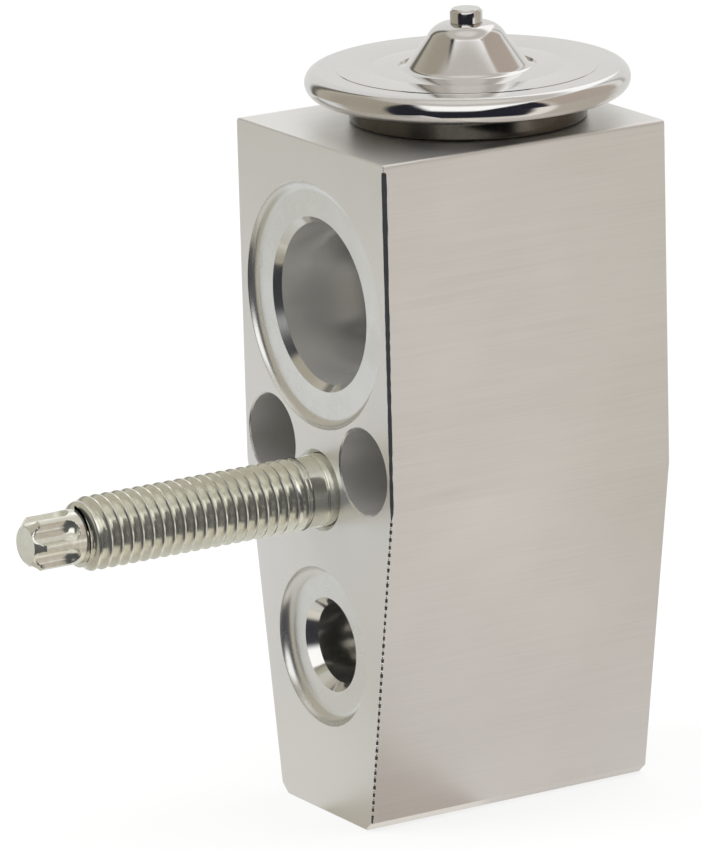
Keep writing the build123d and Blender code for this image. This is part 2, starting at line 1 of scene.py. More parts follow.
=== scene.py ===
"""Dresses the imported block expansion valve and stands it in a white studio.

The frame's own axes hold throughout: +Z is up, the port face lies on y = 0 and looks towards -Y, and the
origin is midway between the two bolt holes. Sizes are written in millimetres and made metres in the meshes.
"""

import logging
from collections.abc import Sequence
from dataclasses import dataclass, field
from enum import Enum
from math import acos, atan2, cos, hypot, radians, sin, sqrt, tau
from random import Random
from typing import Any

import bmesh
import bpy
from bpy.types import Material, Node, NodeSocket, NodeTree, Object
from mathutils import Matrix, Vector

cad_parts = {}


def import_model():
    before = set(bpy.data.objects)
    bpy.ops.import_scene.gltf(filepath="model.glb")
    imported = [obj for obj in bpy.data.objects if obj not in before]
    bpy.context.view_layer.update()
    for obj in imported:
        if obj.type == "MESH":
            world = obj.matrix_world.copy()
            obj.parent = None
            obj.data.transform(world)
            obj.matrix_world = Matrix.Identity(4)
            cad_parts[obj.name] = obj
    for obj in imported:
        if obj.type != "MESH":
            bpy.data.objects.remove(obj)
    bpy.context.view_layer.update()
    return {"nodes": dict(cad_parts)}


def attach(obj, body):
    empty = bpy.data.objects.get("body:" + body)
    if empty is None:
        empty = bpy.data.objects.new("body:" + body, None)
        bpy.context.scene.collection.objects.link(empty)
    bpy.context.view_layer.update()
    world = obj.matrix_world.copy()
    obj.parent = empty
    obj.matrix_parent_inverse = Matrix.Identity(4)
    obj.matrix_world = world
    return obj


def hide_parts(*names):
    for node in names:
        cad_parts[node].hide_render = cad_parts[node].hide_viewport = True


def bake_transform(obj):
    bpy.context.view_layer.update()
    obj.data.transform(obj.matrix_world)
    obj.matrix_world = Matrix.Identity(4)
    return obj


log = logging.getLogger("expansion_valve")

MM = 0.001
Point = tuple[float, float]
Place = tuple[float, float, float]
# Bearings from the camera, in degrees, each with an sRGB hex colour
Tones = tuple[tuple[float, str], ...]

# The bolt holes' height above the base, and how far the valve's own axis lies behind the port face
BOLT_HEIGHT = 39.4
AXIS_DEPTH = 19.7
# Points nearer to each other than this, in metres, are one point
SAME_POINT = 1e-7
WHITE, BLACK = "FFFFFF", "000000"


class Run(Enum):
    """Which way the axis of a turned shape runs."""

    UP = "up"
    INTO_BLOCK = "into the block"

    def spot(self, radius: float, station: float, angle: float) -> Vector:
        """Gives one point of a turned shape.

        Args:
            radius: Distance from the axis, in millimetres.
            station: Distance along the axis, in millimetres.
            angle: Turn about the axis, in radians.

        Returns:
            The point, in metres, with the axis through the origin.
        """
        across, other = radius * cos(angle), radius * sin(angle)
        if self is Run.UP:
            return Vector((across, other, station)) * MM
        return Vector((other, station, across)) * MM


def linear(code: str) -> tuple[float, float, float, float]:
    """Turns an sRGB hex colour into the linear colour that a shader takes.

    Args:
        code: Six hex digits, such as "C8C8C0".

    Returns:
        Linear red, green and blue with an alpha of 1.
    """
    parts = [int(code[i : i + 2], 16) / 255 for i in (0, 2, 4)]
    red, green, blue = (p / 12.92 if p <= 0.04045 else ((p + 0.055) / 1.055) ** 2.4 for p in parts)
    return (red, green, blue, 1.0)


def add_node(tree: NodeTree, kind: str, inputs: dict[Any, Any] | None = None, **settings: Any) -> Node:
    """Adds a node with its settings, its values and its links.

    Args:
        tree: Node tree that takes the node.
        kind: Blender's name for the node's type.
        inputs: Socket name or number to a value, or to the output socket that feeds it.
        **settings: Properties of the node itself.

    Returns:
        The new node.
    """
    made = tree.nodes.new(kind)
    for key, value in settings.items():
        setattr(made, key, value)
    for key, value in (inputs or {}).items():
        if isinstance(value, NodeSocket):
            tree.links.new(value, made.inputs[key])
        else:
            made.inputs[key].default_value = value
    return made


def arc(centre: Point, radius: float, start: float, end: float, steps: int) -> list[Point]:
    """Lists points along an arc, both ends included.

    Args:
        centre: Centre of the arc.
        radius: Its radius.
        start: First angle, in degrees.
        end: Last angle, in degrees.
        steps: Number of chords.

    Returns:
        The points in order.
    """
    turns = [radians(start + (end - start) * i / steps) for i in range(steps + 1)]
    return [(centre[0] + radius * cos(t), centre[1] + radius * sin(t)) for t in turns]


def tangent_arc(start: Point, heading: Point, end: Point, steps: int) -> list[Point]:
    """Lists points along the arc that leaves a point in a given direction and meets another.

    Args:
        start: First point.
        heading: Direction in which the arc leaves it.
        end: Last point.
        steps: Number of chords.

    Returns:
        The points in order.
    """
    size = hypot(*heading)
    side = (-heading[1] / size, heading[0] / size)
    chord = (end[0] - start[0], end[1] - start[1])
    reach = (chord[0] ** 2 + chord[1] ** 2) / (2 * (chord[0] * side[0] + chord[1] * side[1]))
    centre = (start[0] + side[0] * reach, start[1] + side[1] * reach)
    first = atan2(start[1] - centre[1], start[0] - centre[0])
    last = atan2(end[1] - centre[1], end[0] - centre[0])
    sweep = (last - first) % tau
    if reach < 0:
        sweep -= tau
    turns = [first + sweep * i / steps for i in range(steps + 1)]
    return [(centre[0] + abs(reach) * cos(t), centre[1] + abs(reach) * sin(t)) for t in turns]


def as_piece(name: str, shape: bmesh.types.BMesh) -> Object:
    """Makes an object of a finished bmesh, with its faces turned outwards.

    Args:
        name: Name of the piece.
        shape: The mesh in the making, which is used up.

    Returns:
        The new object, at the origin and in the scene.
    """
    bmesh.ops.remove_doubles(shape, verts=shape.verts, dist=SAME_POINT)
    bmesh.ops.recalc_face_normals(shape, faces=shape.faces)
    mesh = bpy.data.meshes.new(name)
    shape.to_mesh(mesh)
    shape.free()
    piece = bpy.data.objects.new(name, mesh)
    bpy.context.scene.collection.objects.link(piece)
    return piece


def bridge(shape: bmesh.types.BMesh, rings: Sequence[Sequence[bmesh.types.BMVert]]) -> None:
    """Joins rings of points into a closed skin.

    Args:
        shape: The mesh in the making.
        rings: Rings of equal length, from one end to the other.
    """
    for low, high in zip(rings, rings[1:]):
        for i, corner in enumerate(low):
            j = (i + 1) % len(low)
            shape.faces.new((corner, low[j], high[j], high[i]))
    shape.faces.new(rings[0])
    shape.faces.new(rings[-1])


def turned(name: str, outline: Sequence[Point], run: Run, place: Place, segments: int = 160) -> Object:
    """Turns an outline about an axis into a closed piece.

    Args:
        name: Name of the piece.
        outline: Points of (radius, station). An outline with no point on the axis closes on itself.
        run: Which way the axis runs.
        place: A point that the axis passes through, where station is 0, in millimetres.
        segments: Facets round the axis.

    Returns:
        The turned object.
    """
    shape = bmesh.new()
    offset = Vector(place) * MM
    rings = []
    for radius, station in outline:
        count = segments if radius > 0 else 1
        spots = [run.spot(radius, station, tau * i / segments) + offset for i in range(count)]
        rings.append([shape.verts.new(s) for s in spots])
    pairs = list(zip(rings, rings[1:]))
    if all(radius > 0 for radius, _ in outline):
        pairs.append((rings[-1], rings[0]))
    for low, high in pairs:
        for i in range(segments):
            corners = [low[i % len(low)], low[(i + 1) % len(low)], high[(i + 1) % len(high)], high[i % len(high)]]
            unique = list(dict.fromkeys(corners))
            if len(unique) > 2:
                shape.faces.new(unique)
    return as_piece(name, shape)


def settle(piece: Object) -> None:
    """Applies a piece's modifiers, so that it holds a plain mesh.

    Args:
        piece: The object whose modifiers are applied.
    """
    graph = bpy.context.evaluated_depsgraph_get()
    mesh = bpy.data.meshes.new_from_object(piece.evaluated_get(graph))
    piece.modifiers.clear()
    piece.data = mesh
    mesh.name = piece.name


def grown(name: str, tree: NodeTree, values: dict[str, float] | None = None) -> Object:
    """Makes an object of what a Geometry Nodes tree builds.

    Args:
        name: Name of the piece.
        tree: The tree.
        values: Value of each of the tree's inputs, by name.

    Returns:
        The new object, with a plain mesh.
    """
    piece = bpy.data.objects.new(name, bpy.data.meshes.new(name))
    bpy.context.scene.collection.objects.link(piece)
    modifier = piece.modifiers.new("nodes", "NODES")
    modifier.node_group = tree
    for item in tree.interface.items_tree:
        if item.in_out == "INPUT":
            modifier[item.identifier] = (values or {})[item.name]
    settle(piece)
    return piece


def cut_away(piece: Object, tool: Object) -> None:
    """Cuts a tool's shape out of a piece and removes the tool.

    Args:
        piece: The object that is cut.
        tool: The closed object that is taken out of it.
    """
    cut = piece.modifiers.new("cut", "BOOLEAN")
    cut.operation = "DIFFERENCE"
    cut.solver = "EXACT"
    cut.material_mode = "TRANSFER"
    cut.object = tool
    settle(piece)
    bpy.data.objects.remove(tool)


def shade(piece: Object, crease: float) -> None:
    """Shades a piece smoothly, with a hard line wherever its faces meet at more than an angle.

    Args:
        piece: The object to shade.
        crease: The angle, in degrees.
    """
    piece.data.shade_smooth()
    piece.data.set_sharp_from_angle(angle=radians(crease))


def dress(piece: Object, material: Material) -> None:
    """Gives a new piece its material.

    Args:
        piece: The object to dress.
        material: Its material.
    """
    piece.data.materials.clear()
    piece.data.materials.append(material)


@dataclass(frozen=True)
class Metal:
    """A metal's colour and gloss, with the fine marks that its making leaves."""

    name: str
    colour: str
    shade_colour: str
    roughness: float
    roughness_spread: float
    grain_mm: Place
    grain_height_mm: float
    cloud_mm: float = 12.0
    cloud_share: float = 0.5
    metallic: float = 1.0
    # Between these values of the noises the tone and the gloss change
    cloud_range: Point = (0.1, 0.4)
    grain_range: Point = (0.3, 0.7)

    def material(self) -> Material:
        """Builds the material from Object coordinates.

        Returns:
            The finished material.
        """
        made = bpy.data.materials.new(self.name)
        made.use_nodes = True
        tree = made.node_tree
        shader = tree.nodes["Principled BSDF"]
        place = add_node(tree, "ShaderNodeTexCoord").outputs["Object"]
        scale = tuple(1 / (size * MM) for size in self.grain_mm)
        grain_place = add_node(tree, "ShaderNodeMapping", {"Vector": place, "Scale": scale})
        grain = add_node(
            tree,
            "ShaderNodeTexNoise",
            {"Vector": grain_place.outputs[0], "Scale": 1.0, "Detail": 3.0, "Roughness": 0.6},
        )
        cloud = add_node(
            tree, "ShaderNodeTexNoise", {"Vector": place, "Scale": 1 / (self.cloud_mm * MM), "Detail": 2.0}
        )
        share = add_node(
            tree,
            "ShaderNodeMath",
            {0: cloud.outputs["Fac"], 1: grain.outputs["Fac"]},
            operation="MULTIPLY",
        )
        mix = add_node(
            tree,
            "ShaderNodeMapRange",
            {
                "Value": share.outputs[0],
                "From Min": self.cloud_range[0],
                "From Max": self.cloud_range[1],
                "To Max": self.cloud_share,
            },
        )
        colour = add_node(
            tree,
            "ShaderNodeMix",
            {"Factor": mix.outputs[0], 6: linear(self.colour), 7: linear(self.shade_colour)},
            data_type="RGBA",
        )
        gloss = add_node(
            tree,
            "ShaderNodeMapRange",
            {
                "Value": grain.outputs["Fac"],
                "From Min": self.grain_range[0],
                "From Max": self.grain_range[1],
                "To Min": self.roughness - self.roughness_spread,
                "To Max": self.roughness + self.roughness_spread,
            },
        )
        bump = add_node(
            tree,
            "ShaderNodeBump",
            {"Height": grain.outputs["Fac"], "Strength": 1.0, "Distance": self.grain_height_mm * MM},
        )
        shader.inputs["Metallic"].default_value = self.metallic
        tree.links.new(colour.outputs[2], shader.inputs["Base Color"])
        tree.links.new(gloss.outputs[0], shader.inputs["Roughness"])
        tree.links.new(bump.outputs[0], shader.inputs["Normal"])
        return made


# Extruded aluminium bar, sawn and milled: a pale warm grey with long fine lines along the bar
EXTRUDED_ALUMINIUM = Metal(
    "extruded_aluminium", "EFEDEA", "E2E0DC", 0.36, 0.03, (0.16, 14.0, 0.16), 0.0014, metallic=0.88
)
# The same aluminium, faced with an end mill at the port seats: a soft sheen without lines
FACED_ALUMINIUM = Metal("faced_aluminium", "E8E7E3", "DEDDD9", 0.27, 0.03, (5.0, 5.0, 5.0), 0.0006, metallic=0.92)
# The same aluminium, chamfered with a sharp form tool: nearly a mirror
TURNED_ALUMINIUM = Metal("turned_aluminium", "E8E7E3", "DEDDD9", 0.13, 0.03, (5.0, 5.0, 5.0), 0.0006, metallic=0.96)
# The same aluminium where it was drilled and bored: satin, with fine rings round each bore from the tool
BORED_ALUMINIUM = Metal("bored_aluminium", "E8E7E4", "DAD9D5", 0.2, 0.04, (5.0, 0.14, 5.0), 0.0016, metallic=0.7)
# Rolled steel with clear zinc plate: bright, a little yellow, with small mottling
CLEAR_ZINC_STEEL = Metal(
    "clear_zinc_plated_steel", "F0F0E6", "D6D5C6", 0.19, 0.05, (0.5, 0.5, 0.5), 0.0012, 3.0, metallic=0.9
)
# Deep-drawn stainless, barrel polished: a mirror with the faintest haze
POLISHED_STAINLESS = Metal("polished_stainless", "E3E1DF", "DAD8D5", 0.1, 0.03, (0.6, 0.6, 0.6), 0.0006)
# The same stainless, darkened to paint the shade that falls under the rim onto the seat ring: a dark, smooth mirror
SHADE_PAINTED_STAINLESS = Metal("stainless_with_painted_shade", "646059", "4C4944", 0.2, 0.04, (0.6, 0.6, 0.6), 0.0006)
# Rolled spring steel: darker and bluish, satin
SPRING_STEEL = Metal("rolled_spring_steel", "8E9093", "6F7175", 0.32, 0.06, (0.3, 0.3, 0.3), 0.002, 5.0)
# Ground rod and ball steel: bright and nearly a mirror
GROUND_STEEL = Metal("ground_steel", "BFC0C2", "A6A8AB", 0.14, 0.04, (0.15, 0.15, 4.0), 0.001, 5.0)
# Turned brass: warm yellow with fine rings from the tool
TURNED_BRASS = Metal("turned_brass", "D1AE6A", "A98746", 0.26, 0.06, (2.0, 2.0, 0.12), 0.002, 6.0)


@dataclass(frozen=True)
class Rubber:
    """Moulded nitrile rubber: near black, dull, with the mould's fine tooth."""

    name: str = "moulded_nitrile_rubber"
    colour: str = "1C1D1E"
    roughness: float = 0.62
    tooth_mm: float = 0.2
    tooth_height_mm: float = 0.004

    def material(self) -> Material:
        """Builds the rubber.

        Returns:
            The finished material.
        """
        made = bpy.data.materials.new(self.name)
        made.use_nodes = True
        tree = made.node_tree
        shader = tree.nodes["Principled BSDF"]
        place = add_node(tree, "ShaderNodeTexCoord").outputs["Object"]
        inputs = {"Vector": place, "Scale": 1 / (self.tooth_mm * MM), "Detail": 2.0}
        tooth = add_node(tree, "ShaderNodeTexNoise", inputs)
        inputs = {"Height": tooth.outputs["Fac"], "Distance": self.tooth_height_mm * MM}
        bump = add_node(tree, "ShaderNodeBump", inputs)
        shader.inputs["Base Color"].default_value = linear(self.colour)
        shader.inputs["Roughness"].default_value = self.roughness
        tree.links.new(bump.outputs[0], shader.inputs["Normal"])
        return made


@dataclass
class ValveBlock:
    """The extruded block with its ports, passages and holes, as sizes above its base and behind its port face."""

    width: float = 29.0
    depth: float = 34.8
    height: float = 73.0
    base_width: float = 17.8
    taper_height: float = 36.0
    base_corner: float = 1.0
    top_round: float = 0.35
    suction_height: float = 55.45
    liquid_height: float = 18.35
    outlet_height: float = 28.6
    stud_height: float = 35.5
    bolt_spacing: float = 18.1
    # How wide the edges are broken: at the back and the base, and at the bend
    back_edge: float = 0.12
    bend_edge: float = 0.2
    # One burr of a tapered corner: how far along its pitch, and how wide the edge is broken there
    burr_pitch: float = 0.85
    burr_form: tuple[Point, ...] = ((0.0, 0.17), (0.5, 0.2), (0.6, 0.05), (0.9, 0.05))
    burr_spread: float = 0.03
    # Height of the first burr above the base
    burr_start: float = 1.5
    # The scraped upright edges: width at the bend and what it gains up to the top, then the steps between marks
    scrape_width: Point = (0.24, 0.17)
    scrape_spread: float = 0.04
    scrape_steps: Point = (0.5, 1.1)
    scrape_end: float = 1.4
    # Where the scraping ends: how far below the top, and how wide the edge is broken there
    top_edge: tuple[Point, ...] = ((1.0, 0.38), (0.72, 0.3), (0.6, 0.05))
    # Round the top corners: how wide the edge is broken at first, and what each point adds
    corner_edge: Point = (0.05, 0.025)
    over: float = 1.0
    crease: float = 6.0

    def outline(self) -> list[tuple[float, float, float]]:
        """Lists the extrusion's outline with the width of the edge break at each point.

        Returns:
            Points of (x, height, edge break), going round once.
        """
        half, foot = self.width / 2, self.base_width / 2
        slope = (half - foot) / self.taper_height
        rise = self.base_corner
        start = [(foot - self.base_corner, 0.0, self.back_edge), (foot + slope * rise, rise, self.back_edge)]
        centre = (half - self.top_round, self.height - self.top_round)
        first, more = self.corner_edge
        end = [(x, z, first + more * i) for i, (x, z) in enumerate(arc(centre, self.top_round, 0, 90, 4))]
        bend = (half, self.taper_height, self.bend_edge)
        chance = Random(4)
        burr = []
        steps = int((self.taper_height - 2 * rise) / self.burr_pitch)
        for k in range(steps):
            low = self.burr_start + k * self.burr_pitch
            for share, edge in self.burr_form:
                z = low + share * self.burr_pitch
                burr.append((foot + slope * z, z, edge + chance.uniform(-self.burr_spread, self.burr_spread)))
        burr.append(bend)
        z = self.taper_height + self.burr_pitch
        width, gain = self.scrape_width
        while z < self.height - self.scrape_end:
            up = (z - self.taper_height) / (self.height - self.taper_height)
            burr.append((half, z, width + gain * up + chance.uniform(-self.scrape_spread, self.scrape_spread)))
            z += self.burr_pitch * chance.uniform(*self.scrape_steps)
        burr += [(half, self.height - below, edge) for below, edge in self.top_edge]
        left = [(-x, z, edge) for x, z, edge in reversed([*start, bend, *end])]
        return [*start, *burr, *end, *left]

    def bar(self) -> Object:
        """Makes the sawn bar with its deburred edges.

        Returns:
            The bar, still without its holes.
        """
        shape = bmesh.new()
        outline = self.outline()
        count = len(outline)
        rings = []
        for inset, at_front in ((True, True), (False, True), (False, False), (True, False)):
            ring = []
            for i, (x, z, front_edge) in enumerate(outline):
                edge = front_edge if at_front else self.back_edge
                before, after = outline[i - 1], outline[(i + 1) % count]
                normals = []
                for one, two in ((before, (x, z)), ((x, z), after)):
                    along = (two[0] - one[0], two[1] - one[1])
                    size = hypot(*along)
                    normals.append((along[1] / size, -along[0] / size))
                mean = (normals[0][0] + normals[1][0], normals[0][1] + normals[1][1])
                shift = 2 * edge / (mean[0] ** 2 + mean[1] ** 2) if inset else 0.0
                y = 0.0 if inset else edge
                if not at_front:
                    y = self.depth - y
                spot = Vector((x - mean[0] * shift, y, z - mean[1] * shift - BOLT_HEIGHT))
                ring.append(shape.verts.new(spot * MM))
            rings.append(ring)
        bridge(shape, rings)
        return as_piece("valve_block_body", shape)

    def bored(self, outline: Sequence[Point], x: float, height: float, segments: int = 160) -> Object:
        """Makes a stepped cutting tool that runs into the block.

        Args:
            outline: Steps of (radius, depth).
            x: Place of its axis across the block.
            height: Place of its axis above the base.
            segments: Facets round the axis.

        Returns:
            The tool, closed at both ends.
        """
        closed = [(0.0, outline[0][1]), *outline, (0.0, outline[-1][1])]
        return turned("tool", closed, Run.INTO_BLOCK, (x, 0, height - BOLT_HEIGHT), segments)

    def finish(self, tool: Object, finishes: Sequence[tuple[Material, float]]) -> None:
        """Gives a cutting tool other finishes down to their depths behind the port face.

        Args:
            tool: The tool, already dressed for its deepest faces.
            finishes: Each material with the depth that it reaches, in millimetres, the deepest first.
        """
        for index, (material, depth) in enumerate(finishes, start=1):
            tool.data.materials.append(material)
            for face in tool.data.polygons:
                if face.center.y < depth * MM:
                    face.material_index = index

    def tools(self) -> list[tuple[Object, float, float]]:
        """Makes every cutting tool of the block.

        Returns:
            The tools, in the order in which they cut, each with the depths down to which it faces and turns.
        """
        back, over = self.depth, self.over
        # A port runs through recess, seat, flare, bore and passage, as (radius, depth)
        suction = [
            (13.18 + over, -over),
            (13.18, 0.0),
            *reversed(tangent_arc((12.1, 0.75), (1, 0), (13.14, 0.03), 20)),
            (9.3, 0.75),
            (8.6, 1.45),
            (8.6, 12.0),
            (7.75, 12.0),
            (7.75, back - 8.0),
            (9.8, back - 8.0),
            (9.8, back - 0.7),
            (10.5 + over, back + over),
        ]
        liquid = [
            (8.62 + over, -over),
            (8.62, 0.0),
            *reversed(tangent_arc((7.3, 1.05), (1, 0), (8.58, 0.03), 20)),
            (5.08, 1.05),
            (4.28, 2.15),
            (4.28, 11.0),
            (3.0, 11.0),
            (3.0, AXIS_DEPTH - 2.4),
        ]
        outlet = [
            (4.6, AXIS_DEPTH - 3.8), (4.6, back - 7.0), (7.2, back - 7.0), (7.2, back - 0.7),
            (7.9 + over, back + over),
        ]
        bolt = [(4.75 + over, -over), (4.6, 0.15), (4.6, back - 0.15), (4.75 + over, back + over)]
        tapped = [(4.4 + over, -over), (3.95, 0.45), (3.95, 13.0), (0.02, 13.0 + 3.95 / sqrt(3))]
        half = self.bolt_spacing / 2
        return [
            (self.bored(suction, 0, self.suction_height, 192), 0.76, 1.5),
            (self.bored(liquid, 0, self.liquid_height), 1.06, AXIS_DEPTH),
            (self.bored(outlet, 0, self.outlet_height), 0.0, 0.0),
            (self.bored(bolt, -half, BOLT_HEIGHT), 0.0, 0.2),
            (self.bored(bolt, half, BOLT_HEIGHT), 0.0, 0.2),
            (self.bored(tapped, 0, self.stud_height, 96), 0.0, 0.0),
            (self.axis_bore(), 0.0, 0.0),
        ]

    def axis_bore(self) -> Object:
        """Makes the tool for every bore on the valve's own axis.

        Returns:
            The tool, from above the block to below it.
        """
        top = self.height
        outline = [
            (0, top + self.over), (12.0, top + self.over), (12.0, top - 1.6), (9.55, top - 1.6),
            (9.55, top - 6.6), (3.6, top - 6.6), (3.6, self.suction_height), (3.4, self.suction_height),
            (3.4, 43.7), (1.9, 43.7), (1.9, 41.7), (1.3, 41.7), (1.3, self.outlet_height),
            (1.9, self.outlet_height), (1.9, 22.0), (2.4, 21.5), (4.95, 21.5), (4.95, 5.9), (5.95, 5.9),
            (5.95, 0.5), (6.45 + self.over, -self.over), (0, -self.over),
        ]
        return turned("tool", outline, Run.UP, (0, AXIS_DEPTH, -BOLT_HEIGHT), 144)

    def build(self, outside: Material, bored: Material, turned_: Material, faced: Material) -> Object:
        """Makes the finished block and sets it on its body.

        Args:
            outside: Material of the extrusion's own faces.
            bored: Material of every bored face.
            turned_: Material of the ports' chamfers and of the dressed front edge.
            faced: Material of the port seats.

        Returns:
            The block.
        """
        block = self.bar()
        dress(block, outside)
        block.data.materials.append(turned_)
        for face in block.data.polygons:
            # The front edge on the camera's side is dressed with a sharp tool
            face.material_index = int(face.normal.x > 0.3 and face.normal.y < -0.3)
        for tool, faced_depth, turned_depth in self.tools():
            dress(tool, bored)
            self.finish(tool, ((turned_, turned_depth), (faced, faced_depth)))
            cut_away(block, tool)
        shade(block, self.crease)
        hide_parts("valve_block")
        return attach(block, "block")


@dataclass
class ThreadForm:
    """A rolled metric thread as a Geometry Nodes tree, wound from a flat grid."""

    pitch: float = 1.25
    crest: float = 3.9
    root: float = 3.17
    rows_per_turn: int = 16
    columns: int = 96
    # The rib's height over one pitch, as a share of the thread's height
    profile: tuple[Point, ...] = (
        (0.0, 0.0), (0.06, 0.07), (0.375, 0.86), (0.44, 0.98), (0.56, 0.98), (0.625, 0.86), (0.94, 0.07),
        (1.0, 0.0),
    )
    # Over the last turns the roots fill up, to this share of the thread's height
    tail_turns: float = 1.3
    tail_fill: float = 0.8
    # Keeps the phase off its jump at each whole turn
    phase_nudge: float = 0.0005

    def tree(self, material: Material) -> NodeTree:
        """Builds the tree: a sheared grid is rolled up, and its radius follows the thread's form.

        Args:
            material: Material that the tree sets.

        Returns:
            The node group, with named inputs for its sizes in metres.
        """
        made = bpy.data.node_groups.new("rolled_thread", "GeometryNodeTree")
        face = made.interface
        face.new_socket("Geometry", in_out="OUTPUT", socket_type="NodeSocketGeometry")
        for name in ("Pitch", "Crest radius", "Root radius", "Length", "Lead length", "Lead drop", "Tail length"):
            face.new_socket(name, in_out="INPUT", socket_type="NodeSocketFloat")
        for name in ("Rows per turn", "Columns", "Turns"):
            face.new_socket(name, in_out="INPUT", socket_type="NodeSocketInt")
        given = add_node(made, "NodeGroupInput").outputs

        def maths(operation: str, *values: Any, clamp: bool = False) -> NodeSocket:
            """Adds one sum to the tree and gives its result."""
            numbered = dict(enumerate(values))
            return add_node(made, "ShaderNodeMath", numbered, operation=operation, use_clamp=clamp).outputs[0]

        rows = maths("ADD", maths("MULTIPLY", given["Rows per turn"], given["Turns"]), 1.0)
        wide = maths("ADD", given["Columns"], 1.0)
        grid = add_node(
            made, "GeometryNodeMeshGrid", {"Size X": 1.0, "Size Y": 1.0, "Vertices X": rows, "Vertices Y": wide}
        )
        spot = add_node(made, "GeometryNodeInputPosition").outputs[0]
        parts = add_node(made, "ShaderNodeSeparateXYZ", {0: spot}).outputs
        along = maths("MULTIPLY", maths("ADD", parts[0], 0.5), given["Turns"])
        round_share = maths("ADD", parts[1], 0.5)
        angle = maths("MULTIPLY", round_share, tau)
        raw = maths("MULTIPLY", maths("SUBTRACT", maths("ADD", along, round_share), 1.0), given["Pitch"])
        station = maths("MINIMUM", maths("MAXIMUM", raw, 0.0), given["Length"])
        phase = maths("FRACT", maths("ADD", along, self.phase_nudge))
        form = add_node(made, "ShaderNodeFloatCurve", {"Value": phase})
        curve = form.mapping.curves[0]
        curve.points[0].location = self.profile[0]
        curve.points[1].location = self.profile[-1]
        for knot in self.profile[1:-1]:
            curve.points.new(*knot)
        for knot in curve.points:
            knot.handle_type = "VECTOR"
        form.mapping.update()
        height = maths("SUBTRACT", given["Crest radius"], given["Root radius"])
        bare = maths("ADD", given["Root radius"], maths("MULTIPLY", form.outputs[0], height))
        lead = maths("DIVIDE", station, given["Lead length"], clamp=True)
        drop = maths("MULTIPLY", maths("SUBTRACT", 1.0, lead), given["Lead drop"])
        to_end = maths("DIVIDE", maths("SUBTRACT", given["Length"], station), given["Tail length"], clamp=True)
        fill = maths("MULTIPLY", height, self.tail_fill)
        fading = maths("MULTIPLY", maths("SUBTRACT", 1.0, to_end), fill)
        filled = maths("MAXIMUM", bare, maths("ADD", given["Root radius"], fading))
        radius = maths("SUBTRACT", filled, drop)
        place = add_node(
            made,
            "ShaderNodeCombineXYZ",
            {
                0: maths("MULTIPLY", radius, maths("SINE", angle)),
                1: station,
                2: maths("MULTIPLY", radius, maths("COSINE", angle)),
            },
        )
        rolled = add_node(made, "GeometryNodeSetPosition", {0: grid.outputs[0], "Position": place.outputs[0]})
        welded = add_node(made, "GeometryNodeMergeByDistance", {0: rolled.outputs[0], "Distance": 2 * SAME_POINT})
        coated = add_node(made, "GeometryNodeSetMaterial", {0: welded.outputs[0], "Material": material})
        add_node(made, "NodeGroupOutput", {0: coated.outputs[0]})
        return made

    def wind(self, name: str, length: float, lead: Point, material: Material) -> Object:
        """Winds the thread from y = 0 along +Y and closes its two ends.

        Args:
            name: Name of the piece.
            length: Threaded length, in millimetres.
            lead: Length and drop of the lead at its start.
            material: Its material.

        Returns:
            The thread, about the Y axis.
        """
        values = {
            "Pitch": self.pitch * MM,
            "Crest radius": self.crest * MM,
            "Root radius": self.root * MM,
            "Length": length * MM,
            "Lead length": lead[0] * MM,
            "Lead drop": lead[1] * MM,
            "Tail length": self.tail_turns * self.pitch * MM,
            "Rows per turn": self.rows_per_turn,
            "Columns": self.columns,
            "Turns": int(length / self.pitch) + 2,
        }
        piece = grown(name, self.tree(material), values)
        shape = bmesh.new()
        shape.from_mesh(piece.data)
        bmesh.ops.dissolve_degenerate(shape, edges=shape.edges, dist=SAME_POINT)
        bmesh.ops.holes_fill(shape, edges=[e for e in shape.edges if e.is_boundary], sides=0)
        bmesh.ops.recalc_face_normals(shape, faces=shape.faces)
        shape.to_mesh(piece.data)
        shape.free()
        return piece


